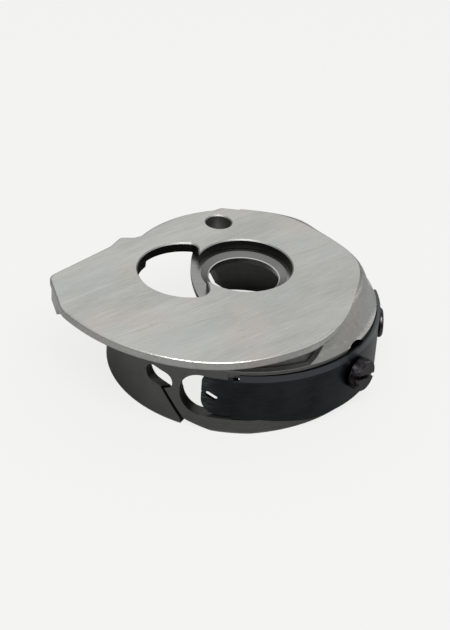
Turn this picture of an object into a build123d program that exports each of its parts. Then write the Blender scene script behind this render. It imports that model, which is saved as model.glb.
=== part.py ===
from build123d import *
import os
from math import cos, radians, sin

# Bobbin case of a twin-needle lockstitch machine, for a hook that turns about an upright axis.
# Millimetres. +Z is up, and the origin is on the hook axis at the open rim of the cup.
# Places round the cup are azimuths in degrees: 0 is the front (-Y) and 90 is the right (+X).

# ---- cup ----
case_radius = 12.0
wall_thickness = 1.25
total_height = 9.6
shoulder_height = 6.5
neck_inset = 0.7
web_thickness = 1.45
bore_straight_depth = 6.8
ceiling_inset = 1.0

# ---- top flange: (azimuth, reach past the cup wall) ----
flange_thickness = 0.9
flange_edge_round = 0.22
flange_lower_round = 0.3
finger_tip = (-77.0, 5.34)
finger_heel = (-59.9, 5.74)
front_sweep = (-35.0, 4.74)
front_low = (-8.9, 3.59)
right_sweep = (7.5, 2.49)
right_turn = (22.8, 1.45)
crease_start = (41.0, 0.19)
crease_middle = (73.1, -1.70)
crease_right = (100.8, -1.82)
crease_rear = (138.9, -2.72)
crease_end = (184.0, -2.32)
rear_apex = (194.4, -1.93)
rear_dip = (199.2, -2.26)
rear_left_middle = (224.8, -2.07)
rear_left_end = (247.8, -1.80)
step_inner = (251.1, -1.37)
step_outer = (253.7, -0.23)
step_foot = (262.0, 0.17)
finger_tip_round = 1.0
finger_heel_round = 3.0
apex_round = 0.5
dip_round = 0.5
step_round = 0.4
step_foot_round = 2.0
front_start_heading = -51.0
crease_start_heading = 59.0
crease_end_heading = 177.0
lug_length = 2.4
lug_thickness = 0.9
lug_drop = 0.8
lug_offset = -0.2

# ---- bevel from the flange down to the shoulder, on the right and at the back ----
bevel_start_azimuth = 30.5
bevel_profile = ((0.0, 9.6), (0.13, 9.42), (0.55, 7.9), (1.0, 6.5))
bevel_foot_inset = 0.1

# ---- openings in the top ----
keyhole_radius = 4.27
lobe_centre = (-5.0, -1.4)
lobe_radius = 4.4
lobe_top_angle = 88.5
lobe_middle_angle = 186.0
lobe_foot_angle = 284.5
upper_cusp = (-4.2, 1.95)
upper_cusp_bulge = (-4.37, 2.65)
lower_cusp = (-2.95, -4.2)
lower_cusp_bulge = (-3.12, -5.1)
sight_hole_radius = 1.19
sight_hole_centre = (-2.59, 7.08)
opening_edge_break = 0.1
opening_reach = 6.5

# ---- openings in the wall ----
window_start_azimuth = -24.0
window_end_azimuth = 1.2
window_top = 5.55
window_left_round = 1.95
window_right_round = 0.15
thread_hole_azimuth = -34.3
thread_hole_height = 3.95
thread_hole_length = 2.8
thread_hole_width = 1.65
thread_hole_turn = -10.0
thread_hole_flare = -20.0
thread_slot_width = 0.32
thread_slot_azimuth = -26.0
thread_slot_top = (-1.35, 3.1)
thread_slot_foot = (1.4, -0.25)
thread_slot_mouth = ((0.5, 0.75), (1.3, 0.5), (3.4, 0.0), (3.4, -1.0), (0.9, -1.0))
rear_opening_azimuth = -137.0
rear_opening_foot = -6.1
rear_opening_top = -2.6
rear_opening_side = 4.2
rear_opening_round = 0.8

# ---- seat of the tension spring ----
spring_seat_start_azimuth = -4.0
spring_seat_depth = 0.38
spring_seat_bottom = 1.4
spring_seat_low_bottom = 0.7
spring_seat_top = 6.15
spring_seat_end_azimuth = 84.0
lip_slope_start_azimuth = 10.0
lip_slope_length = 4.5
lip_relief_azimuth = 46.0
lip_relief_radius = 14.0
lip_relief_depth = 0.47
lip_notch_azimuth = 33.0
lip_notch_width = 0.3
scallop_azimuth = 56.5
scallop_height = 4.7
scallop_radius = 1.95

# ---- tension spring and its screws ----
leaf_thickness = 0.3
leaf_edge_clearance = 0.08
leaf_top = 6.05
leaf_tip_top = 5.45
leaf_seat_inset = 0.12
leaf_centre_azimuth = 130.0
leaf_centre_shift = 0.3
leaf_free_azimuth = -16.0
leaf_joggle_azimuth = -0.7
leaf_joggle_depth = 0.35
leaf_joggle_turn = 2.1
leaf_fixed_azimuth = 107.0
leaf_tip_round = 0.75
leaf_tip_foot_round = 1.45
leaf_fixed_round = 1.1
fork_slot_width = 0.46
fork_slot_length = 1.2
fork_slot_azimuth = -10.6
fork_slot_height = 3.35
fork_slot_turn = -27.0
fork_mouth_height = 3.65
fork_mouth_width = 0.72
fork_mouth_depth = 0.34
fork_mouth_round = 0.32
adjusting_azimuth = 57.2
adjusting_height = 3.55
adjusting_head_radius = 1.47
adjusting_head_height = 0.95
adjusting_head_gap = 0.14
adjusting_slot_width = 0.38
adjusting_slot_depth = 0.5
adjusting_slot_turn = -20.0
fixing_azimuth = 93.0
fixing_height = 4.05
fixing_head_radius = 1.35
fixing_head_height = 0.3
fixing_head_gap = 0.05
fixing_slot_width = 0.4
fixing_slot_depth = 0.18
fixing_slot_turn = 50.0
screw_shank_radius = 0.8
screw_thread_clearance = 0.03
leaf_hole_clearance = 0.15
screw_end_inset = 0.1
screw_head_chamfer = 0.15

# ---- latch slide under the flange ----
slide_clearance = 0.05
slide_thickness = 0.45
slide_bore_radius = 3.12
slide_bevel_width = 0.73
slide_bevel_depth = 0.3
slide_nose_reach = 4.8
slide_nose_radius = 16.2
slide_nose_offset = 1.4
slide_half_width = 4.4
slide_ear_reach = 0.5
slide_ear_start = 2.5
slide_ear_length = 1.8
slide_tail_half_width = 3.0
slide_tail_end = 6.2
slide_travel = 1.0
lobe_relief_start = -8.8

# ---- latch spring ----
latch_spring_radius = 0.4
latch_spring_wire = 0.16
latch_spring_turns = 7
latch_spring_length = 2.8
latch_spring_room = 0.12

# ---- cover under the latch slide ----
cover_thickness = 0.42
cover_radius = 9.2
cover_left_edge = -3.2
cover_boss_radius = 3.95
stud_bore_radius = 3.3
cover_screw_places = ((8.0, 7.8), (50.0, 8.1), (180.0, 7.8))
cover_screw_head_radius = 0.9
cover_screw_head_depth = 0.38
cover_screw_shank_radius = 0.5
cover_screw_length = 1.25
cover_screw_slot_width = 0.22
cover_screw_slot_depth = 0.16
cover_screw_clearance = 0.02

# ---- anti-spin spring below the cover ----
brake_thickness = 0.16
brake_width = 2.0
brake_rivet_azimuth = 157.0
brake_rivet_distance = 6.8
brake_heading = -45.0
brake_rivet_spacing = 1.1
brake_end_margin = 0.7
brake_flat_length = 0.9
brake_slope_length = 3.4
brake_tip_length = 0.8
brake_drop = 0.9
brake_tip_rise = 0.25
brake_seat_gap = 0.1
rivet_radius = 0.3
rivet_head_radius = 0.48
rivet_head_height = 0.2
rivet_clearance = 0.05

# ---- sizes worked out from those above ----
cup_bore_radius = case_radius - wall_thickness
neck_radius = case_radius - neck_inset
flange_underside = total_height - flange_thickness
web_underside = total_height - web_thickness
ceiling_radius = cup_bore_radius - ceiling_inset
seat_radius = case_radius - spring_seat_depth
leaf_inner_radius = case_radius - leaf_seat_inset
leaf_outer_radius = leaf_inner_radius + leaf_thickness
leaf_bottom = spring_seat_low_bottom + leaf_edge_clearance
slide_ear_end = slide_ear_start + slide_ear_length
slide_underside = flange_underside - slide_clearance - slide_thickness
channel_end = slide_tail_end + slide_travel + slide_clearance
spring_room_radius = latch_spring_radius + latch_spring_wire / 2 + latch_spring_room
spring_start = channel_end - slide_clearance - latch_spring_length
spring_height = (web_underside + flange_underside) / 2
cover_underside = web_underside - cover_thickness
CUT_MARGIN = 1.0


def on_circle(radius, azimuth):
    """The plan point at a radius and an azimuth."""
    return (radius * sin(radians(azimuth)), -radius * cos(radians(azimuth)))


def flange_point(place):
    """The plan point of a flange place given as azimuth and reach past the cup wall."""
    azimuth, reach = place
    return on_circle(case_radius + reach, azimuth)


def wall_plane(azimuth, height, radius=case_radius):
    """A plane square to the cup wall: X runs round to the right, Y up and Z outwards."""
    outward = (sin(radians(azimuth)), -cos(radians(azimuth)), 0)
    along = (cos(radians(azimuth)), sin(radians(azimuth)), 0)
    x, y = on_circle(radius, azimuth)
    return Plane(origin=(x, y, height), x_dir=along, z_dir=outward)


def lobe_edge(angle):
    """A plan point on the round edge of the lobe, at an angle from +X."""
    x, y = lobe_centre
    return (x + lobe_radius * cos(radians(angle)), y + lobe_radius * sin(radians(angle)))


def nearest_vertex(sketch, place):
    """The vertex of a sketch that lies at a plan point."""
    x, y = place
    return sketch.vertices().sort_by_distance((x, y, 0))[0]


def heading(angle):
    """The plan direction at an angle from +X."""
    return (cos(radians(angle)), sin(radians(angle)))


def bevel_line(share):
    """A level line of the bevel: share 0 is the crease of the flat top, share 1 its foot on the shoulder."""
    start_azimuth = crease_start[0] + share * (bevel_start_azimuth - crease_start[0])
    start_heading = crease_start_heading + share * (bevel_start_azimuth - crease_start_heading)
    end_heading = crease_end_heading + share * (crease_end[0] - crease_end_heading)
    places = [(start_azimuth, crease_start[1]), crease_middle, crease_right, crease_rear, crease_end]
    return Spline(
        *[flange_point((azimuth, (1 - share) * reach - share * bevel_foot_inset)) for azimuth, reach in places],
        tangents=(heading(start_heading), heading(end_heading)),
    )


def flange_outline():
    """The spiral outline of the flange, with the finger at the left and the step behind it."""
    with BuildSketch(Plane.XY, mode=Mode.PRIVATE) as outline:
        with BuildLine():
            Line(flange_point(finger_tip), flange_point(finger_heel))
            Spline(
                flange_point(finger_heel),
                flange_point(front_sweep),
                flange_point(front_low),
                flange_point(right_sweep),
                flange_point(right_turn),
                flange_point(crease_start),
                tangents=(heading(front_start_heading), heading(crease_start_heading)),
            )
            bevel_line(0)
            Polyline(flange_point(crease_end), flange_point(rear_apex), flange_point(rear_dip))
            ThreePointArc(flange_point(rear_dip), flange_point(rear_left_middle), flange_point(rear_left_end))
            Polyline(
                flange_point(rear_left_end),
                flange_point(step_inner),
                flange_point(step_outer),
                flange_point(step_foot),
                flange_point(finger_tip),
            )
        make_face()
        for place, radius in (
            (finger_tip, finger_tip_round),
            (finger_heel, finger_heel_round),
            (rear_apex, apex_round),
            (rear_dip, dip_round),
            (rear_left_end, step_round),
            (step_inner, step_round),
            (step_outer, step_round),
            (step_foot, step_foot_round),
        ):
            fillet(nearest_vertex(outline, flange_point(place)), radius=radius)
    return outline.sketch


def lobe_outline():
    """The lobe of the keyhole: a round edge closed by two small turns at the cusps."""
    with BuildSketch(Plane.XY, mode=Mode.PRIVATE) as outline:
        with BuildLine():
            ThreePointArc(lobe_edge(lobe_top_angle), lobe_edge(lobe_middle_angle), lobe_edge(lobe_foot_angle))
            ThreePointArc(lobe_edge(lobe_foot_angle), lower_cusp_bulge, lower_cusp)
            Line(lower_cusp, upper_cusp)
            ThreePointArc(upper_cusp, upper_cusp_bulge, lobe_edge(lobe_top_angle))
        make_face()
    return outline.sketch


def wall_band(inner_radius, outer_radius, start_azimuth, end_azimuth):
    """The plan of a band that follows the cup wall between two azimuths."""
    middle_azimuth = (start_azimuth + end_azimuth) / 2
    with BuildSketch(Plane.XY, mode=Mode.PRIVATE) as band:
        with BuildLine():
            ThreePointArc(
                on_circle(outer_radius, start_azimuth),
                on_circle(outer_radius, middle_azimuth),
                on_circle(outer_radius, end_azimuth),
            )
            Line(on_circle(outer_radius, end_azimuth), on_circle(inner_radius, end_azimuth))
            ThreePointArc(
                on_circle(inner_radius, end_azimuth),
                on_circle(inner_radius, middle_azimuth),
                on_circle(inner_radius, start_azimuth),
            )
            Line(on_circle(inner_radius, start_azimuth), on_circle(outer_radius, start_azimuth))
        make_face()
    return band.sketch


def lip_profile(rise):
    """The side view of the lip below the tension spring, raised by a clearance."""
    with BuildSketch(Plane.XY, mode=Mode.PRIVATE) as profile:
        with BuildLine():
            Polyline(
                (-case_radius - CUT_MARGIN, -CUT_MARGIN),
                (-case_radius - CUT_MARGIN, spring_seat_bottom + rise),
                (0, spring_seat_bottom + rise),
                (lip_slope_length, spring_seat_low_bottom + rise),
                (case_radius + CUT_MARGIN, spring_seat_low_bottom + rise),
                (case_radius + CUT_MARGIN, -CUT_MARGIN),
                close=True,
            )
        make_face()
    return profile.sketch


os.makedirs("parts", exist_ok=True)
lip_plane = wall_plane(lip_slope_start_azimuth, 0, 0)
leaf_centre = on_circle(leaf_centre_shift, leaf_centre_azimuth)
spring_seat = extrude(
    wall_band(seat_radius, case_radius + CUT_MARGIN, spring_seat_start_azimuth, spring_seat_end_azimuth),
    amount=spring_seat_top,
)
spring_seat -= extrude(lip_plane * lip_profile(0), amount=case_radius + 2 * CUT_MARGIN)
brake_plane = Plane(
    origin=(*on_circle(brake_rivet_distance, brake_rivet_azimuth), cover_underside),
    x_dir=heading(brake_heading),
    z_dir=(0, 0, 1),
)

# ---- case body: cup, web, flange, finger and bevel, machined in one piece ----
with BuildPart() as case_body:
    with BuildSketch(Plane.XY.offset(flange_underside)):
        add(flange_outline())
    extrude(amount=flange_thickness)
    fillet(case_body.faces().sort_by(Axis.Z)[-1].edges(), radius=flange_edge_round)
    hanging_edges = [
        edge
        for edge in case_body.faces().sort_by(Axis.Z)[0].edges()
        if min(Vector(end.X, end.Y).length for end in edge.vertices()) > neck_radius
    ]
    fillet(hanging_edges, radius=flange_lower_round)

    with BuildSketch(Plane.XY):
        Circle(case_radius)
    extrude(amount=shoulder_height)
    with BuildSketch(Plane.XY.offset(shoulder_height)):
        add(flange_outline())
        Circle(neck_radius, mode=Mode.INTERSECT)
    extrude(amount=flange_underside - shoulder_height)

    # bevel from the crease of the flange down to the shoulder of the cup
    for share, height in bevel_profile:
        with BuildSketch(Plane.XY.offset(height)):
            with BuildLine():
                edge_line = bevel_line(share)
                Polyline(edge_line @ 1, (0, 0), edge_line @ 0)
            make_face()
    loft()

    # lug bent down below the edge of the finger
    finger_edge = Vector(*flange_point(finger_heel)) - Vector(*flange_point(finger_tip))
    finger_middle = (Vector(*flange_point(finger_heel)) + Vector(*flange_point(finger_tip))) / 2
    lug_plane = Plane(
        origin=(finger_middle.X, finger_middle.Y, flange_underside + flange_lower_round),
        x_dir=(finger_edge.X, finger_edge.Y, 0),
        z_dir=(0, 0, 1),
    )
    with BuildSketch(lug_plane):
        with Locations((lug_offset, 0)):
            Rectangle(lug_length, lug_thickness, align=(Align.CENTER, Align.MIN))
    extrude(amount=-lug_drop - flange_lower_round)

    # inside of the cup, with a sloping corner that keeps the wall under the bevel
    with BuildSketch(Plane.XZ):
        with BuildLine():
            Polyline(
                (0, -CUT_MARGIN),
                (cup_bore_radius, -CUT_MARGIN),
                (cup_bore_radius, bore_straight_depth),
                (ceiling_radius, web_underside),
                (0, web_underside),
                close=True,
            )
        make_face()
    revolve(axis=Axis.Z, mode=Mode.SUBTRACT)

    # channel in the underside of the flange for the latch slide, its ears and its spring
    with BuildSketch(Plane.XY.offset(web_underside)):
        with Locations((lobe_relief_start, 0)):
            Rectangle(
                slide_ear_start - slide_clearance - lobe_relief_start,
                2 * (slide_half_width + slide_clearance),
                align=(Align.MIN, Align.CENTER),
            )
        with Locations((slide_ear_start - slide_clearance, 0)):
            Rectangle(
                slide_ear_length + slide_travel + 2 * slide_clearance,
                2 * (slide_half_width + slide_ear_reach + slide_clearance),
                align=(Align.MIN, Align.CENTER),
            )
        with Locations((0, 0)):
            Rectangle(channel_end, 2 * (slide_tail_half_width + slide_clearance), align=(Align.MIN, Align.CENTER))
    extrude(amount=flange_underside - web_underside, mode=Mode.SUBTRACT)
    with BuildSketch(Plane.XY.offset(flange_underside)):
        with Locations((channel_end, 0)):
            Rectangle(
                channel_end - spring_start + slide_clearance,
                2 * spring_room_radius,
                align=(Align.MAX, Align.CENTER),
            )
    extrude(amount=spring_height + spring_room_radius - flange_underside, mode=Mode.SUBTRACT)

    # keyhole: the round opening for the stud and the lobe where a fingertip reaches the slide
    with BuildSketch(Plane.XY.offset(flange_underside)):
        Circle(keyhole_radius)
        add(lobe_outline())
    extrude(amount=flange_thickness, mode=Mode.SUBTRACT)
    with BuildSketch(Plane.XY.offset(web_underside)):
        add(lobe_outline())
        with Locations(sight_hole_centre):
            Circle(sight_hole_radius)
    extrude(amount=web_thickness, mode=Mode.SUBTRACT)

    opening_edges = [
        edge
        for edge in case_body.faces().sort_by(Axis.Z)[-1].edges()
        if edge.distance_to(Vertex(0, 0, total_height)) < opening_reach
    ]
    chamfer(opening_edges, length=opening_edge_break)

    # blind holes for the screws of the cover
    for azimuth, radius in cover_screw_places:
        with BuildSketch(Plane.XY.offset(web_underside)):
            with Locations(on_circle(radius, azimuth)):
                Circle(cover_screw_shank_radius + cover_screw_clearance)
        extrude(amount=cover_screw_length - cover_thickness + cover_screw_clearance, mode=Mode.SUBTRACT)

    # seat of the tension spring, cut into the wall, and the lip below it, relieved on the right
    add(spring_seat, mode=Mode.SUBTRACT)
    with BuildSketch(Plane.XY):
        Circle(case_radius + CUT_MARGIN)
        with Locations(on_circle(case_radius - lip_relief_depth - lip_relief_radius, lip_relief_azimuth)):
            Circle(lip_relief_radius, mode=Mode.SUBTRACT)
    extrude(amount=spring_seat_bottom, mode=Mode.SUBTRACT)

    # scallop in the foot of the bevel, above the adjusting screw
    with BuildSketch(wall_plane(scallop_azimuth, scallop_height, neck_radius)):
        Circle(scallop_radius)
    extrude(amount=case_radius, mode=Mode.SUBTRACT)

    # window under the free end of the spring
    window_middle_azimuth = (window_start_azimuth + window_end_azimuth) / 2
    window_width = 2 * case_radius * sin(radians((window_end_azimuth - window_start_azimuth) / 2))
    with BuildSketch(wall_plane(window_middle_azimuth, spring_seat_bottom, 0)) as window:
        Rectangle(window_width, window_top - spring_seat_bottom, align=(Align.CENTER, Align.MIN))
        fillet(window.vertices().group_by(Axis.X)[0], radius=window_left_round)
        fillet(window.vertices().group_by(Axis.X)[-1], radius=window_right_round)
    extrude(amount=case_radius + CUT_MARGIN, mode=Mode.SUBTRACT)

    # thread hole, and the slot that lets the thread into it from the rim
    with BuildSketch(wall_plane(thread_hole_azimuth, thread_hole_height)):
        SlotOverall(thread_hole_length, thread_hole_width, rotation=thread_hole_turn)
    extrude(amount=-wall_thickness - CUT_MARGIN, taper=thread_hole_flare, mode=Mode.SUBTRACT)
    with BuildSketch(wall_plane(thread_slot_azimuth, 0, 0)):
        with BuildLine():
            slot_line = Line(thread_slot_top, thread_slot_foot)
        trace(slot_line, line_width=thread_slot_width)
        Polygon(*thread_slot_mouth, align=None)
    extrude(amount=case_radius + CUT_MARGIN, mode=Mode.SUBTRACT)

    # opening through the wall at the back left, with one slanted side
    with BuildSketch(wall_plane(rear_opening_azimuth, 0, cup_bore_radius / 2)) as rear_opening:
        with BuildLine():
            Polyline(
                (rear_opening_side, -CUT_MARGIN),
                (rear_opening_side, web_underside),
                (rear_opening_top, web_underside),
                (rear_opening_foot, 0),
                (rear_opening_foot, -CUT_MARGIN),
                close=True,
            )
        make_face()
        fillet(rear_opening.vertices().group_by(Axis.Z)[-1], radius=rear_opening_round)
    extrude(amount=case_radius, mode=Mode.SUBTRACT)

    # small notch through the lip below the spring
    with BuildSketch(wall_plane(lip_notch_azimuth, 0)):
        Rectangle(lip_notch_width, spring_seat_bottom, align=(Align.CENTER, Align.MIN))
    extrude(amount=-spring_seat_depth, mode=Mode.SUBTRACT)

    # threaded holes for the two screws of the spring
    for azimuth, height in ((adjusting_azimuth, adjusting_height), (fixing_azimuth, fixing_height)):
        with BuildSketch(wall_plane(azimuth, height, cup_bore_radius / 2)):
            Circle(screw_shank_radius + screw_thread_clearance)
        extrude(amount=case_radius, mode=Mode.SUBTRACT)
case_body.part.label = "case_body"

# ---- latch slide: a thin plate that runs in the channel and holds the stud of the hook ----
with BuildPart() as latch_slide:
    with BuildSketch(Plane.XY.offset(slide_underside)):
        with Locations((slide_ear_end, 0)):
            Rectangle(slide_nose_reach + slide_ear_end, 2 * slide_half_width, align=(Align.MAX, Align.CENTER))
        with Locations((slide_nose_radius - slide_nose_reach, slide_nose_offset)):
            Circle(slide_nose_radius, mode=Mode.INTERSECT)
        with Locations((slide_ear_start, 0)):
            Rectangle(
                slide_ear_length,
                2 * (slide_half_width + slide_ear_reach),
                align=(Align.MIN, Align.CENTER),
            )
        Rectangle(slide_tail_end, 2 * slide_tail_half_width, align=(Align.MIN, Align.CENTER))
        Circle(slide_bore_radius, mode=Mode.SUBTRACT)
        with Locations((slide_tail_end, 0)):
            Rectangle(
                slide_tail_end - spring_start + slide_clearance,
                2 * spring_room_radius,
                align=(Align.MAX, Align.CENTER),
                mode=Mode.SUBTRACT,
            )
    extrude(amount=slide_thickness)
    bore_edge = latch_slide.edges().filter_by(GeomType.CIRCLE).group_by(Axis.Z)[-1].sort_by(SortBy.RADIUS)[0]
    chamfer(bore_edge, length=slide_bevel_depth, length2=slide_bevel_width)
latch_slide.part.label = "latch_slide"

# ---- latch spring: a small coil that pushes the slide back to the left ----
with BuildPart() as latch_spring:
    with BuildLine():
        coil = Helix(
            pitch=(latch_spring_length - latch_spring_wire) / latch_spring_turns,
            height=latch_spring_length - latch_spring_wire,
            radius=latch_spring_radius,
            center=(spring_start + latch_spring_wire / 2, 0, spring_height),
            direction=(1, 0, 0),
        )
    with BuildSketch(Plane(origin=coil @ 0, z_dir=coil % 0)):
        Circle(latch_spring_wire / 2)
    sweep(path=coil, is_frenet=True)
latch_spring.part.label = "latch_spring"

# ---- cover: the thin plate under the web that keeps the slide in and carries the stud bore ----
with BuildPart() as latch_cover:
    with BuildSketch(Plane.XY.offset(cover_underside)):
        Circle(cover_radius)
        with Locations((cover_left_edge, 0)):
            Rectangle(2 * cover_radius, 2 * cover_radius, align=(Align.MAX, Align.CENTER), mode=Mode.SUBTRACT)
        Circle(cover_boss_radius)
        Circle(stud_bore_radius, mode=Mode.SUBTRACT)
        with Locations((channel_end, 0)):
            Rectangle(
                channel_end - spring_start + slide_clearance,
                2 * spring_room_radius,
                align=(Align.MAX, Align.CENTER),
                mode=Mode.SUBTRACT,
            )
        for azimuth, radius in cover_screw_places:
            with Locations(on_circle(radius, azimuth)):
                Circle(cover_screw_shank_radius + cover_screw_clearance, mode=Mode.SUBTRACT)
    extrude(amount=cover_thickness)
    with BuildSketch(brake_plane):
        with Locations((0, -brake_rivet_spacing / 2), (0, brake_rivet_spacing / 2)):
            Circle(rivet_radius)
    extrude(amount=cover_thickness, mode=Mode.SUBTRACT)
    for azimuth, radius in cover_screw_places:
        x, y = on_circle(radius, azimuth)
        with Locations((x, y, cover_underside)):
            Cone(
                cover_screw_head_radius + cover_screw_clearance,
                cover_screw_shank_radius + cover_screw_clearance,
                cover_screw_head_depth,
                align=(Align.CENTER, Align.CENTER, Align.MIN),
                mode=Mode.SUBTRACT,
            )
latch_cover.part.label = "latch_cover"

# ---- screws of the cover: three countersunk screws driven from inside the cup ----
with BuildPart() as latch_cover_screws:
    for azimuth, radius in cover_screw_places:
        x, y = on_circle(radius, azimuth)
        with Locations((x, y, cover_underside)):
            Cylinder(
                cover_screw_shank_radius,
                cover_screw_length,
                align=(Align.CENTER, Align.CENTER, Align.MIN),
            )
            Cone(
                cover_screw_head_radius,
                cover_screw_shank_radius,
                cover_screw_head_depth,
                align=(Align.CENTER, Align.CENTER, Align.MIN),
            )
        with Locations(Location((x, y, cover_underside), (0, 0, azimuth))):
            Box(
                3 * cover_screw_head_radius,
                cover_screw_slot_width,
                cover_screw_slot_depth,
                align=(Align.CENTER, Align.CENTER, Align.MIN),
                mode=Mode.SUBTRACT,
            )
latch_cover_screws.part.label = "latch_cover_screws"

# ---- tension spring: a blued leaf bent round the wall, forked at its free end ----
with BuildPart() as tension_spring:
    with BuildSketch(Plane.XY.offset(leaf_bottom)):
        with Locations(leaf_centre):
            add(wall_band(leaf_inner_radius, leaf_outer_radius, leaf_joggle_azimuth, leaf_fixed_azimuth))
            add(
                wall_band(
                    leaf_inner_radius - leaf_joggle_depth,
                    leaf_outer_radius,
                    leaf_joggle_azimuth - leaf_joggle_turn,
                    leaf_joggle_azimuth,
                )
            )
            add(
                wall_band(
                    leaf_inner_radius - leaf_joggle_depth,
                    leaf_outer_radius - leaf_joggle_depth,
                    leaf_free_azimuth,
                    leaf_joggle_azimuth - leaf_joggle_turn,
                )
            )
    extrude(amount=leaf_top - leaf_bottom)
    with BuildSketch(lip_plane):
        add(lip_profile(leaf_edge_clearance))
    extrude(amount=case_radius + CUT_MARGIN, mode=Mode.SUBTRACT)
    tip_plane = wall_plane(leaf_joggle_azimuth, leaf_tip_top, 0)
    with BuildSketch(tip_plane):
        with Locations((leaf_centre_shift, 0)):
            Rectangle(case_radius, leaf_top, align=(Align.MAX, Align.MIN))
    extrude(amount=case_radius + CUT_MARGIN, mode=Mode.SUBTRACT)
    fixed_end = wall_plane(leaf_fixed_azimuth, (leaf_bottom + leaf_top) / 2, leaf_inner_radius)
    fixed_edges = tension_spring.edges().filter_by(Axis(fixed_end.origin, fixed_end.z_dir))
    fillet(fixed_edges.sort_by_distance(fixed_end.origin)[:2], radius=leaf_fixed_round)
    free_end = wall_plane(leaf_free_azimuth, (spring_seat_bottom + leaf_tip_top) / 2, leaf_inner_radius)
    free_edges = tension_spring.edges().filter_by(Axis(free_end.origin, free_end.z_dir))
    free_corners = free_edges.sort_by_distance(free_end.origin)[:2].sort_by(Axis.Z)
    fillet(free_corners[-1], radius=leaf_tip_round)
    free_edges = tension_spring.edges().filter_by(Axis(free_end.origin, free_end.z_dir))
    fillet(free_edges.sort_by(Axis.Z)[0], radius=leaf_tip_foot_round)
    with BuildSketch(wall_plane(fork_slot_azimuth, fork_slot_height, 0)):
        SlotCenterToCenter(fork_slot_length - fork_slot_width, fork_slot_width, rotation=fork_slot_turn)
    extrude(amount=case_radius + CUT_MARGIN, mode=Mode.SUBTRACT)
    with BuildSketch(wall_plane(leaf_free_azimuth, fork_mouth_height, 0)):
        Rectangle(2 * fork_mouth_depth, fork_mouth_width)
        with Locations((fork_mouth_round, -fork_mouth_width / 2), (fork_mouth_round, fork_mouth_width / 2)):
            Circle(fork_mouth_round, mode=Mode.SUBTRACT)
    extrude(amount=case_radius + CUT_MARGIN, mode=Mode.SUBTRACT)
    for azimuth, height in ((adjusting_azimuth, adjusting_height), (fixing_azimuth, fixing_height)):
        with BuildSketch(wall_plane(azimuth, height, cup_bore_radius / 2)):
            Circle(screw_shank_radius + leaf_hole_clearance)
        extrude(amount=case_radius, mode=Mode.SUBTRACT)
tension_spring.part.label = "tension_spring"


def wall_screw(azimuth, height, head_radius, head_height, head_gap, slot_width, slot_depth, slot_turn):
    """A cheese-head screw driven through the spring into the wall of the cup."""
    leaf_reach = leaf_centre_shift * cos(radians(azimuth - leaf_centre_azimuth))
    head_seat = leaf_outer_radius + leaf_reach + head_gap
    shank_end = cup_bore_radius + screw_end_inset
    with BuildPart() as screw:
        with BuildSketch(wall_plane(azimuth, height, shank_end)):
            Circle(screw_shank_radius)
        extrude(amount=head_seat - shank_end)
        with BuildSketch(wall_plane(azimuth, height, head_seat)):
            Circle(head_radius)
        extrude(amount=head_height)
        head_face = wall_plane(azimuth, height, head_seat + head_height)
        rims = screw.edges().filter_by(GeomType.CIRCLE)
        chamfer(rims.sort_by(Axis(head_face.origin, head_face.z_dir))[-1], length=screw_head_chamfer)
        with BuildSketch(head_face):
            Rectangle(3 * head_radius, slot_width, rotation=slot_turn)
        extrude(amount=-slot_depth, mode=Mode.SUBTRACT)
    return screw


# ---- adjusting screw: its head presses on the spring and sets the thread tension ----
tension_adjusting_screw = wall_screw(
    adjusting_azimuth,
    adjusting_height,
    adjusting_head_radius,
    adjusting_head_height,
    adjusting_head_gap,
    adjusting_slot_width,
    adjusting_slot_depth,
    adjusting_slot_turn,
)
tension_adjusting_screw.part.label = "tension_adjusting_screw"

# ---- fixing screw: clamps the far end of the spring to the wall ----
tension_fixing_screw = wall_screw(
    fixing_azimuth,
    fixing_height,
    fixing_head_radius,
    fixing_head_height,
    fixing_head_gap,
    fixing_slot_width,
    fixing_slot_depth,
    fixing_slot_turn,
)
tension_fixing_screw.part.label = "tension_fixing_screw"

# ---- anti-spin spring: a thin leaf under the cover that rubs on the bobbin ----
with BuildPart() as anti_spin_spring:
    brake_seat = -brake_seat_gap - brake_thickness / 2
    with BuildSketch(Plane(brake_plane.origin, x_dir=brake_plane.x_dir, z_dir=-brake_plane.y_dir)):
        with BuildLine():
            leaf_line = Polyline(
                (-brake_end_margin, brake_seat),
                (brake_flat_length, brake_seat),
                (brake_flat_length + brake_slope_length, -brake_drop),
                (brake_flat_length + brake_slope_length + brake_tip_length, brake_tip_rise - brake_drop),
            )
        trace(leaf_line, line_width=brake_thickness)
    extrude(amount=brake_width / 2, both=True)
    with BuildSketch(brake_plane):
        with Locations((0, -brake_rivet_spacing / 2), (0, brake_rivet_spacing / 2)):
            Circle(rivet_radius + rivet_clearance)
    extrude(amount=-brake_drop, mode=Mode.SUBTRACT)
anti_spin_spring.part.label = "anti_spin_spring"

# ---- rivets of the anti-spin spring, set flush in the cover ----
with BuildPart() as anti_spin_rivets:
    rivet_head_seat = -brake_seat_gap - brake_thickness - rivet_clearance
    with BuildSketch(brake_plane.offset(rivet_head_seat)):
        with Locations((0, -brake_rivet_spacing / 2), (0, brake_rivet_spacing / 2)):
            Circle(rivet_radius)
    extrude(amount=cover_thickness - rivet_head_seat)
    with BuildSketch(brake_plane.offset(rivet_head_seat)):
        with Locations((0, -brake_rivet_spacing / 2), (0, brake_rivet_spacing / 2)):
            Circle(rivet_head_radius)
    extrude(amount=-rivet_head_height)
anti_spin_rivets.part.label = "anti_spin_rivets"

for piece in (
    case_body,
    latch_slide,
    latch_spring,
    latch_cover,
    latch_cover_screws,
    tension_spring,
    tension_adjusting_screw,
    tension_fixing_screw,
    anti_spin_spring,
    anti_spin_rivets,
):
    export_step(piece.part, f"parts/{piece.part.label}.step")
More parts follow.
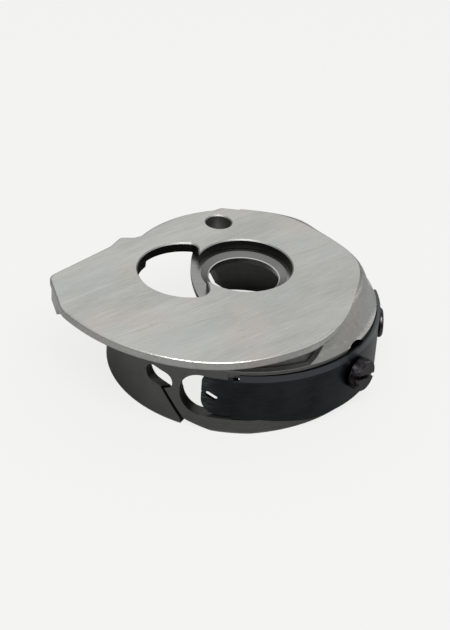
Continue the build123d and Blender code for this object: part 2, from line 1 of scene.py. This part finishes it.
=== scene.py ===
import math
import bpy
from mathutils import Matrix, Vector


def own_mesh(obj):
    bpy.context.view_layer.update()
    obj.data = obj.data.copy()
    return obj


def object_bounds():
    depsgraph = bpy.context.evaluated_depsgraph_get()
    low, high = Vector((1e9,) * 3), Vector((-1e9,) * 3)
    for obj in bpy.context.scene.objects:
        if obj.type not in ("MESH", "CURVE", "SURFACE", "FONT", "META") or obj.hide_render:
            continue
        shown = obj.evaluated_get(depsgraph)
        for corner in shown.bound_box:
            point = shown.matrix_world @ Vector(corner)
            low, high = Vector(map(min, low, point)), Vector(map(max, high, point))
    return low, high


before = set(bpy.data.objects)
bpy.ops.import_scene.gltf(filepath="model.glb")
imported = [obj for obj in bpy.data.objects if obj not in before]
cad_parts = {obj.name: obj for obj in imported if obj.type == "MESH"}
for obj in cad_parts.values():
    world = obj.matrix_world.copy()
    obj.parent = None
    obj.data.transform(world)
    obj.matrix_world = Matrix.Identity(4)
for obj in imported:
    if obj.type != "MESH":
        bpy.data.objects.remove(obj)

from types import SimpleNamespace

import bpy
from mathutils import Matrix, Vector

cad_low, cad_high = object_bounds()
mm = 0.001
scene = bpy.context.scene

# ---- Camera ----
# A long lens a little over the flange, from the front, where the free end of the tension spring shows.
# It leans a few degrees to one side.
aim = Vector((-1.43, -1.01, 4.81)) * mm
distance = 169.8 * mm
look_down = math.radians(33.59)
lean = math.radians(3.89)
camera_data = bpy.data.cameras.new("camera")
camera_data.lens = 108.57
camera_data.sensor_width = 36.0
camera_data.clip_start = 0.005
camera_data.clip_end = 20.0
camera = bpy.data.objects.new("camera", camera_data)
scene.collection.objects.link(camera)
forward = Vector((0.0, math.cos(look_down), -math.sin(look_down)))
level = Vector((1.0, 0.0, 0.0))
above = level.cross(forward)
right = level * math.cos(lean) + above * math.sin(lean)
up = above * math.cos(lean) - level * math.sin(lean)
turn = Matrix((right, up, -forward)).transposed().to_4x4()
camera.matrix_world = Matrix.Translation(aim - forward * distance) @ turn
scene.camera = camera

# ---- Studio ----
# A pale table that glows evenly, in a pale room with soft boxes over and behind the part.
# Only the camera sees the pale table and room; the metal mirrors a darker table and soft grey walls.
scene.view_settings.view_transform = "Standard"
table_size = 3.0
pale_tone = (0.895, 0.895, 0.885, 1.0)


def stage_shader(tree, seen, mirrored):
    """A surface or room that shows one tone to the camera and another one to the metal."""
    nodes, links = tree.nodes, tree.links
    path = nodes.new("ShaderNodeLightPath")
    mix = nodes.new("ShaderNodeMixShader")
    links.new(path.outputs["Is Camera Ray"], mix.inputs[0])
    links.new(mirrored, mix.inputs[1])
    links.new(seen, mix.inputs[2])
    return mix.outputs[0]


def pale_table():
    """The material of the table: an even pale top with the faintest shade of the part."""
    material = bpy.data.materials.new("pale_table")
    material.use_nodes = True
    tree = material.node_tree
    nodes, links = tree.nodes, tree.links
    nodes.clear()
    glow = nodes.new("ShaderNodeEmission")
    glow.inputs["Color"].default_value = pale_tone
    glow.inputs["Strength"].default_value = 1.0
    lit = nodes.new("ShaderNodeBsdfDiffuse")
    lit.inputs["Color"].default_value = (0.8, 0.8, 0.8, 1.0)
    even = nodes.new("ShaderNodeMixShader")
    even.inputs[0].default_value = 0.1
    links.new(glow.outputs[0], even.inputs[1])
    links.new(lit.outputs[0], even.inputs[2])
    dark = nodes.new("ShaderNodeBsdfDiffuse")
    dark.inputs["Color"].default_value = (0.34, 0.34, 0.335, 1.0)
    out = nodes.new("ShaderNodeOutputMaterial")
    links.new(stage_shader(tree, even.outputs[0], dark.outputs[0]), out.inputs["Surface"])
    return material


table_mesh = bpy.data.meshes.new("table")
half = table_size / 2
table_gap = 0.02 * mm
table_level = cad_low.z - table_gap
corners = ((-half, -half), (half, -half), (half, half), (-half, half))
table_mesh.from_pydata([(x, y, table_level) for x, y in corners], [], [(0, 1, 2, 3)])
table = bpy.data.objects.new("table", table_mesh)
table.data.materials.append(pale_table())
scene.collection.objects.link(table)

world = bpy.data.worlds.new("room")
world.use_nodes = True
scene.world = world
room = world.node_tree
room.nodes.clear()
seen_room = room.nodes.new("ShaderNodeBackground")
seen_room.inputs["Color"].default_value = pale_tone
direction = room.nodes.new("ShaderNodeTexCoord")
split = room.nodes.new("ShaderNodeSeparateXYZ")
room.links.new(direction.outputs["Generated"], split.inputs[0])
height_ramp = room.nodes.new("ShaderNodeValToRGB")
height_ramp.color_ramp.elements[0].position = 0.0
height_ramp.color_ramp.elements[0].color = (0.10, 0.10, 0.10, 1.0)
height_ramp.color_ramp.elements[1].position = 1.0
height_ramp.color_ramp.elements[1].color = (1.0, 1.0, 1.0, 1.0)
middle = height_ramp.color_ramp.elements.new(0.45)
middle.color = (0.75, 0.75, 0.74, 1.0)
room.links.new(split.outputs["Z"], height_ramp.inputs[0])
mirrored_room = room.nodes.new("ShaderNodeBackground")
mirrored_room.inputs["Strength"].default_value = 0.8
room.links.new(height_ramp.outputs["Color"], mirrored_room.inputs["Color"])
room_out = room.nodes.new("ShaderNodeOutputWorld")
room.links.new(
    stage_shader(room, seen_room.outputs[0], mirrored_room.outputs[0]),
    room_out.inputs["Surface"],
)


def soft_box(name, place, width, height, watts):
    """A soft box that faces the part."""
    data = bpy.data.lights.new(name, "AREA")
    data.shape = "RECTANGLE"
    data.size = width
    data.size_y = height
    data.energy = watts
    lamp = bpy.data.objects.new(name, data)
    lamp.location = place
    lamp.rotation_euler = (aim - Vector(place)).to_track_quat("-Z", "Y").to_euler()
    lamp.visible_camera = False
    scene.collection.objects.link(lamp)


soft_box("front_top_box", (0.02, -0.26, 0.40), 0.34, 0.12, 1.5)
soft_box("back_box", (-0.16, 0.50, 0.34), 0.5, 0.3, 0.10)
soft_box("right_box", (0.45, 0.12, 0.16), 0.14, 0.3, 0.09)
soft_box("low_box", (0.45, 0.38, 0.06), 0.20, 0.05, 0.04)

# ---- Case body ----
# One turned and milled piece of hardened steel. The flange and the bevel are ground bright with strokes that
# run one way; the wall, the neck and the inside are painted darker as shade, with turned rings.


def metal(name):
    """A new metal material with short ways to add and join its nodes; places and sizes are in millimetres."""
    material = bpy.data.materials.new(name)
    material.use_nodes = True
    tree = material.node_tree
    shader = tree.nodes["Principled BSDF"]
    shader.inputs["Metallic"].default_value = 1.0

    def add(kind, **values):
        made = tree.nodes.new(kind)
        for key, value in values.items():
            setattr(made, key, value)
        return made

    def put(socket, value):
        if isinstance(value, bpy.types.NodeSocket):
            tree.links.new(value, socket)
        else:
            socket.default_value = value

    def sums(operation, a, b=0.0, c=0.0):
        made = add("ShaderNodeMath", operation=operation)
        for socket, value in zip(made.inputs, (a, b, c)):
            put(socket, value)
        return made.outputs[0]

    def times(a, b):
        return sums("MULTIPLY", a, b)

    def without(a, b):
        """The first mask where the second one is not."""
        return times(a, sums("SUBTRACT", 1.0, b))

    def blend(share, first, second):
        """A tone between two tones."""
        made = add("ShaderNodeMix", data_type="RGBA")
        put(made.inputs["Factor"], share)
        for socket, tone in ((made.inputs[6], first), (made.inputs[7], second)):
            put(socket, tone if isinstance(tone, bpy.types.NodeSocket) else (*tone, 1.0))
        return made.outputs[2]

    def between(share, first, second):
        """A number between two numbers."""
        made = add("ShaderNodeMix", data_type="FLOAT")
        put(made.inputs["Factor"], share)
        put(made.inputs[2], first)
        put(made.inputs[3], second)
        return made.outputs[0]

    def step(value, low, high):
        """0 below low, 1 above high and smooth between."""
        made = add("ShaderNodeMapRange", interpolation_type="SMOOTHSTEP")
        put(made.inputs["Value"], value)
        made.inputs["From Min"].default_value = low
        made.inputs["From Max"].default_value = high
        return made.outputs[0]

    def below(value, limit, soft):
        """1 where the value is under the limit, fading to 0 over a soft edge."""
        return step(sums("SUBTRACT", limit, value), 0.0, soft)

    def grain(vector, size, detail=3.0, roughness=0.5):
        """Noise with a given number of spots per millimetre."""
        made = add("ShaderNodeTexNoise")
        put(made.inputs["Vector"], vector)
        made.inputs["Scale"].default_value = size
        made.inputs["Detail"].default_value = detail
        made.inputs["Roughness"].default_value = roughness
        return made.outputs["Fac"]

    def joined(first, second=0.0):
        """Two numbers as a place, so that noise on it makes rings or bands."""
        made = add("ShaderNodeCombineXYZ")
        put(made.inputs[0], first)
        put(made.inputs[1], second)
        return made.outputs[0]

    def relief(height, strength, depth):
        """A fine relief on the shader."""
        bump = add("ShaderNodeBump")
        bump.inputs["Strength"].default_value = strength
        bump.inputs["Distance"].default_value = depth * mm
        put(bump.inputs["Height"], height)
        put(shader.inputs["Normal"], bump.outputs[0])

    coordinates = add("ShaderNodeTexCoord")
    scale = add("ShaderNodeMapping")
    scale.inputs["Scale"].default_value = (1 / mm, 1 / mm, 1 / mm)
    put(scale.inputs["Vector"], coordinates.outputs["Object"])
    place = scale.outputs[0]
    split = add("ShaderNodeSeparateXYZ")
    put(split.inputs[0], place)
    x, y, z = split.outputs

    def reach(centre=(0.0, 0.0)):
        """The distance from an upright axis."""
        dx = sums("SUBTRACT", x, centre[0])
        dy = sums("SUBTRACT", y, centre[1])
        return sums("SQRT", sums("ADD", times(dx, dx), times(dy, dy)))

    def along(angle, length, width):
        """The place stretched so that spots of noise become strokes at an angle from +X."""
        mapping = add("ShaderNodeMapping", vector_type="TEXTURE")
        mapping.inputs["Rotation"].default_value = (0.0, 0.0, math.radians(angle))
        mapping.inputs["Scale"].default_value = (length, width, 1.0)
        put(mapping.inputs["Vector"], place)
        return mapping.outputs[0]

    def finish(tone, roughness):
        put(shader.inputs["Base Color"], tone)
        put(shader.inputs["Roughness"], roughness)
        return material

    return SimpleNamespace(
        add=add,
        put=put,
        sums=sums,
        times=times,
        without=without,
        blend=blend,
        between=between,
        step=step,
        below=below,
        grain=grain,
        joined=joined,
        relief=relief,
        reach=reach,
        along=along,
        finish=finish,
        facing=coordinates.outputs["Normal"],
        place=place,
        x=x,
        y=y,
        z=z,
    )


def around(azimuth, distance):
    """A plan point at a distance from the hook axis; azimuth 0 is the front and 90 the right."""
    return (distance * math.sin(math.radians(azimuth)), -distance * math.cos(math.radians(azimuth)))


def dress(node, material):
    """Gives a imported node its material."""
    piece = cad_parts[node]
    piece.data.materials.clear()
    piece.data.materials.append(material)


def case_faces(kit):
    """Masks on the body: ground faces, walls of the top's openings, their broken edges and the sight hole."""
    shoulder, flange_underside, flange_top = 6.5, 8.7, 9.6
    neck_radius, bore_radius = 11.3, 10.75
    keyhole_radius, lobe_centre, lobe_radius = 4.27, (-5.0, -1.4), 4.4
    sight_centre, sight_radius = (-2.59, 7.08), 1.19
    radius = kit.reach()

    # the neck under the flange and the inside of the cup take the painted shade
    neck = kit.below(radius, neck_radius + 0.12, 0.03)
    neck = kit.times(neck, kit.below(kit.z, flange_underside + 0.02, 0.03))
    bevel_side = kit.sums("SUBTRACT", kit.times(kit.x, 0.86), kit.times(kit.y, -0.51))
    neck = kit.without(neck, kit.step(bevel_side, 4.0, 4.6))
    inside = kit.below(kit.z, flange_underside - 0.08, 0.02)
    inside = kit.times(inside, kit.below(radius, bore_radius + 0.1, 0.05))

    level = kit.add("ShaderNodeSeparateXYZ")
    kit.put(level.inputs[0], kit.facing)
    flat = kit.step(kit.sums("ABSOLUTE", level.outputs[2]), 0.35, 0.6)
    hole = kit.below(radius, keyhole_radius + 0.18, 0.02)
    lobe = kit.below(kit.reach(lobe_centre), lobe_radius + 0.15, 0.02)
    sight = kit.below(kit.reach(sight_centre), sight_radius + 0.11, 0.02)
    opening = kit.sums("MAXIMUM", kit.sums("MAXIMUM", hole, lobe), sight)
    broken_edge = kit.times(opening, kit.below(kit.z, flange_top - 0.002, 0.002))
    # the walls of the openings, which are painted near black as shade
    opening = kit.without(kit.times(opening, kit.below(kit.z, flange_top - 0.11, 0.01)), flat)
    broken_edge = kit.without(broken_edge, opening)

    # faces above the shoulder take the ground tone; the wall below it takes the painted shade
    ground = kit.step(kit.z, shoulder - 0.08, shoulder + 0.02)
    ground = kit.without(kit.without(ground, kit.sums("MAXIMUM", inside, neck)), opening)
    return ground, opening, broken_edge, sight


def case_steel():
    kit = metal("case_steel")
    step, blend, times = kit.step, kit.blend, kit.times
    ground, opening, broken_edge, sight = case_faces(kit)

    # ground faces: strokes from the front left to the back right, faint tints of heat, pits and scratches
    stroke_angle = 42.0
    strokes = kit.grain(kit.along(stroke_angle, 3.2, 0.30), 1.8, 7.0, 0.72)
    hairs = kit.grain(kit.along(stroke_angle + 2.0, 12.0, 0.10), 1.3, 2.0, 0.5)
    dark_hairs = kit.grain(kit.along(stroke_angle - 6.0, 12.0, 0.12), 1.1, 2.0, 0.5)
    cloud = kit.grain(kit.along(stroke_angle, 3.0, 1.1), 0.28, 3.0, 0.55)
    cool = kit.grain(kit.along(60.0, 1.6, 1.0), 0.23, 1.0, 0.5)
    warm = kit.grain(kit.place, 0.17, 1.0, 0.5)
    dust = kit.grain(kit.place, 7.0, 3.0, 0.7)
    pits = kit.add("ShaderNodeTexVoronoi", feature="F1")
    kit.put(pits.inputs["Vector"], kit.place)
    pits.inputs["Scale"].default_value = 0.8
    pit = kit.sums("SUBTRACT", 1.0, step(pits.outputs["Distance"], 0.03, 0.055))
    tone = blend(step(cloud, 0.3, 0.7), (0.49, 0.495, 0.465), (0.60, 0.605, 0.575))
    tone = blend(times(step(warm, 0.5, 0.72), 0.55), tone, (0.62, 0.565, 0.53))
    tone = blend(times(step(cool, 0.52, 0.72), 0.45), tone, (0.52, 0.56, 0.56))
    tone = blend(times(step(strokes, 0.40, 0.72), 0.40), tone, (0.75, 0.75, 0.735))
    tone = blend(times(step(hairs, 0.60, 0.70), 0.45), tone, (0.80, 0.80, 0.79))
    tone = blend(times(step(dust, 0.52, 0.72), 0.30), tone, (0.36, 0.36, 0.345))
    tone = blend(times(step(dark_hairs, 0.64, 0.72), 0.4), tone, (0.30, 0.30, 0.29))
    tone = blend(times(pit, 0.55), tone, (0.22, 0.22, 0.21))
    # painted shade along the broken edges of the openings
    tone = blend(times(broken_edge, 0.75), tone, (0.24, 0.24, 0.235))

    # faces off the ground top, painted darker as shade: turned rings round the hook axis, a soft mottle and a
    # rim rubbed by the bench
    rings = kit.grain(kit.joined(kit.reach(), kit.z), 6.0, 4.0, 0.7)
    mottle = kit.grain(kit.place, 0.9, 5.0, 0.6)
    dark = blend(mottle, (0.125, 0.125, 0.12), (0.205, 0.205, 0.20))
    dark = blend(times(step(rings, 0.35, 0.75), 0.35), dark, (0.25, 0.25, 0.24))
    wear_and_highlight = times(kit.below(kit.z, 0.16, 0.12), step(mottle, 0.30, 0.55))
    dark = blend(times(wear_and_highlight, 0.6), dark, (0.46, 0.46, 0.45))
    # painted shade: the walls of the openings near black, the sight hole a lighter grey
    dark = blend(opening, dark, blend(sight, (0.030, 0.030, 0.030), (0.16, 0.16, 0.155)))

    rough_ground = kit.sums("MULTIPLY_ADD", strokes, 0.16, 0.22)
    rough_ground = kit.sums("ADD", rough_ground, times(kit.sums("MAXIMUM", pit, broken_edge), 0.22))
    rough_dark = kit.sums("MULTIPLY_ADD", kit.grain(kit.place, 2.5, 4.0, 0.6), 0.12, 0.30)
    rough_dark = kit.sums("ADD", rough_dark, times(opening, 0.15))
    lay = times(ground, kit.sums("ADD", strokes, times(hairs, 0.6)))
    lay = kit.sums("SUBTRACT", lay, times(pit, ground))
    kit.relief(kit.sums("ADD", lay, kit.without(rings, ground)), 0.14, 0.02)
    return kit.finish(blend(ground, dark, tone), kit.between(ground, rough_dark, rough_ground))


dress("case_body", case_steel())

# ---- Latch slide ----
# A thin hardened plate ground lengthwise. The bevel round its bore is turned and painted darker as shade,
# and its inner rim is painted bright as a highlight.


def slide_steel():
    bore_radius, bevel_width = 3.12, 0.73
    kit = metal("slide_steel")
    radius = kit.reach()
    rings = kit.grain(kit.joined(radius), 9.0, 3.0, 0.6)
    strokes = kit.grain(kit.along(4.0, 6.0, 0.3), 1.8, 5.0, 0.6)
    wall = kit.step(radius, bore_radius - 0.12, bore_radius - 0.02)
    bevel = kit.times(kit.below(radius, bore_radius + bevel_width + 0.01, 0.02), wall)
    wear_and_highlight = kit.times(kit.below(radius, bore_radius + 0.12, 0.06), wall)
    plate = kit.blend(strokes, (0.26, 0.26, 0.255), (0.46, 0.46, 0.445))
    # painted shade: the bevel darker than the plate
    shaded_bevel_tone = kit.blend(rings, (0.17, 0.17, 0.165), (0.30, 0.30, 0.29))
    tone = kit.blend(bevel, plate, shaded_bevel_tone)
    # painted highlight round the inner rim of the bore
    tone = kit.blend(kit.times(wear_and_highlight, 0.8), tone, (0.78, 0.78, 0.76))
    kit.relief(kit.sums("ADD", kit.without(strokes, bevel), kit.times(rings, bevel)), 0.12, 0.02)
    return kit.finish(tone, kit.sums("MULTIPLY_ADD", strokes, 0.16, 0.22))


dress("latch_slide", slide_steel())

# ---- Latch spring ----
# Drawn spring wire wound into a small coil and left in the straw brown of tempering. Its right end rests in
# the channel, where the coil gives way by the millimetre that the slide travels; here it only gets its own
# copy of its mesh.


def spring_wire():
    kit = metal("spring_wire")
    temper = kit.grain(kit.place, 1.1, 3.0, 0.55)
    die_lines = kit.grain(kit.along(90.0, 3.0, 0.12), 2.0, 4.0, 0.6)
    tone = kit.blend(kit.step(temper, 0.35, 0.65), (0.50, 0.46, 0.38), (0.44, 0.34, 0.24))
    tone = kit.blend(kit.times(die_lines, 0.4), tone, (0.62, 0.60, 0.55))
    kit.relief(die_lines, 0.10, 0.01)
    return kit.finish(tone, kit.sums("MULTIPLY_ADD", die_lines, 0.2, 0.18))


dress("latch_spring", spring_wire())
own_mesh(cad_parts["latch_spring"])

# ---- Latch cover ----
# A stamped plate, ground flat on a wheel and then turned round the bore that the hook's stud passes.


def cover_steel():
    boss_radius, wheel_centre = 3.95, (38.0, -26.0)
    kit = metal("cover_steel")
    sweep = kit.grain(kit.joined(kit.reach(wheel_centre)), 3.2, 5.0, 0.65)
    rings = kit.grain(kit.joined(kit.reach()), 8.0, 3.0, 0.6)
    boss = kit.below(kit.reach(), boss_radius, 0.05)
    haze = kit.grain(kit.place, 0.5, 4.0, 0.6)
    tone = kit.blend(sweep, (0.30, 0.30, 0.295), (0.50, 0.50, 0.485))
    tone = kit.blend(kit.times(kit.step(haze, 0.5, 0.75), 0.5), tone, (0.34, 0.32, 0.29))
    tone = kit.blend(boss, tone, (0.58, 0.58, 0.565))
    kit.relief(kit.sums("ADD", kit.without(sweep, boss), kit.times(rings, boss)), 0.12, 0.02)
    return kit.finish(tone, kit.sums("MULTIPLY_ADD", sweep, 0.18, 0.24))


dress("latch_cover", cover_steel())

# ---- Latch cover screws ----
# Three small turned countersunk screws of browned steel, with faces turned round their own axes.


def cover_screw_steel():
    screw_places = ((8.0, 7.8), (50.0, 8.1), (180.0, 7.8))
    head_radius = 0.9
    kit = metal("cover_screw_steel")
    off_axis = 100.0
    for azimuth, distance in screw_places:
        off_axis = kit.sums("MINIMUM", off_axis, kit.reach(around(azimuth, distance)))
    rings = kit.grain(kit.joined(off_axis, kit.z), 11.0, 3.0, 0.6)
    rim = kit.step(off_axis, head_radius - 0.10, head_radius - 0.02)
    tone = kit.blend(rings, (0.20, 0.185, 0.17), (0.42, 0.40, 0.37))
    tone = kit.blend(kit.times(rim, 0.6), tone, (0.60, 0.59, 0.57))
    kit.relief(rings, 0.18, 0.015)
    return kit.finish(tone, kit.sums("MULTIPLY_ADD", rings, 0.18, 0.22))


dress("latch_cover_screws", cover_screw_steel())

# ---- Tension spring ----
# Rolled spring steel blued by heat: almost black, with a cold sheen and the grain of rolling round the wall.
# The thread has rubbed the free end a little brighter, and the strip along the top is painted paler as a
# highlight.


def blued_spring_steel():
    highlight_band = (5.34, 5.42)
    kit = metal("blued_spring_steel")
    azimuth = kit.sums("ARCTAN2", kit.x, kit.times(kit.y, -1.0))
    rolled = kit.grain(kit.joined(kit.times(azimuth, 2.4), kit.times(kit.z, 3.0)), 2.0, 5.0, 0.65)
    blueing = kit.grain(kit.place, 0.35, 3.0, 0.55)
    worn = kit.times(kit.below(azimuth, -0.14, 0.10), kit.step(rolled, 0.40, 0.62))
    top_highlight = kit.step(kit.z, *highlight_band)
    tone = kit.blend(kit.step(blueing, 0.3, 0.7), (0.026, 0.029, 0.032), (0.040, 0.044, 0.048))
    tone = kit.blend(kit.times(kit.step(rolled, 0.45, 0.75), 0.5), tone, (0.056, 0.061, 0.067))
    tone = kit.blend(kit.times(worn, 0.35), tone, (0.24, 0.24, 0.25))
    # painted highlight along the top strip of the leaf
    tone = kit.blend(kit.times(top_highlight, 0.5), tone, (0.17, 0.18, 0.20))
    kit.relief(rolled, 0.12, 0.015)
    return kit.finish(tone, kit.sums("MULTIPLY_ADD", rolled, 0.14, 0.24))


dress("tension_spring", blued_spring_steel())

# ---- Tension screws ----
# Two turned cheese-head screws, blackened in oil. The face of each keeps the rings of the lathe tool, and its
# rim is rubbed by the screwdriver.


def blackened_steel(name, azimuth, height, head_radius, low, high):
    kit = metal(name)
    out_x, out_y = around(azimuth, 1.0)
    outwards = kit.sums("ADD", kit.times(kit.x, out_x), kit.times(kit.y, out_y))
    sideways = kit.sums("SUBTRACT", kit.times(kit.y, out_x), kit.times(kit.x, out_y))
    rise = kit.sums("SUBTRACT", kit.z, height)
    off_axis = kit.sums("SQRT", kit.sums("ADD", kit.times(sideways, sideways), kit.times(rise, rise)))
    rings = kit.grain(kit.joined(off_axis, outwards), 10.0, 3.0, 0.65)
    mottle = kit.grain(kit.place, 2.2, 4.0, 0.6)
    rim = kit.times(kit.step(off_axis, head_radius - 0.17, head_radius - 0.08), kit.step(mottle, 0.42, 0.62))
    worn = (high[0] * 1.7, high[1] * 1.6, high[2] * 1.7)
    tone = kit.blend(rings, low, high)
    tone = kit.blend(kit.times(kit.step(mottle, 0.5, 0.75), 0.5), tone, worn)
    tone = kit.blend(kit.times(rim, 0.35), tone, (0.22, 0.20, 0.21))
    kit.relief(rings, 0.16, 0.015)
    return kit.finish(tone, kit.sums("MULTIPLY_ADD", mottle, 0.16, 0.26))


dress(
    "tension_adjusting_screw",
    blackened_steel("adjusting_screw_black", 57.2, 3.55, 1.47, (0.022, 0.020, 0.023), (0.040, 0.036, 0.041)),
)
dress(
    "tension_fixing_screw",
    blackened_steel("fixing_screw_black", 93.0, 4.05, 1.35, (0.026, 0.024, 0.026), (0.046, 0.043, 0.046)),
)

# ---- Anti-spin spring ----
# A strip of rolled spring steel bent twice; its tip is polished by the bobbin that turns under it.


def brake_spring_steel():
    strip_heading, polished_below = -45.0, 7.0
    kit = metal("brake_spring_steel")
    rolled = kit.grain(kit.along(strip_heading, 8.0, 0.25), 1.8, 5.0, 0.6)
    temper = kit.grain(kit.place, 0.6, 2.0, 0.5)
    polished = kit.below(kit.z, polished_below, 0.25)
    tone = kit.blend(rolled, (0.32, 0.33, 0.35), (0.54, 0.55, 0.56))
    tone = kit.blend(kit.times(kit.step(temper, 0.45, 0.7), 0.5), tone, (0.30, 0.34, 0.44))
    tone = kit.blend(kit.times(polished, 0.7), tone, (0.74, 0.74, 0.73))
    kit.relief(rolled, 0.10, 0.015)
    rough = kit.sums("MULTIPLY_ADD", rolled, 0.18, 0.18)
    return kit.finish(tone, kit.sums("SUBTRACT", rough, kit.times(polished, 0.08)))


dress("anti_spin_spring", brake_spring_steel())

# ---- Anti-spin rivets ----
# Two soft steel rivets, headed cold, with the small dents of the heading tool.


def rivet_steel():
    kit = metal("rivet_steel")
    dents = kit.add("ShaderNodeTexVoronoi", feature="SMOOTH_F1")
    kit.put(dents.inputs["Vector"], kit.place)
    dents.inputs["Scale"].default_value = 7.0
    haze = kit.grain(kit.place, 3.0, 4.0, 0.6)
    tone = kit.blend(haze, (0.34, 0.335, 0.32), (0.56, 0.555, 0.54))
    kit.relief(dents.outputs["Distance"], 0.25, 0.02)
    return kit.finish(tone, kit.sums("MULTIPLY_ADD", haze, 0.2, 0.26))


dress("anti_spin_rivets", rivet_steel())
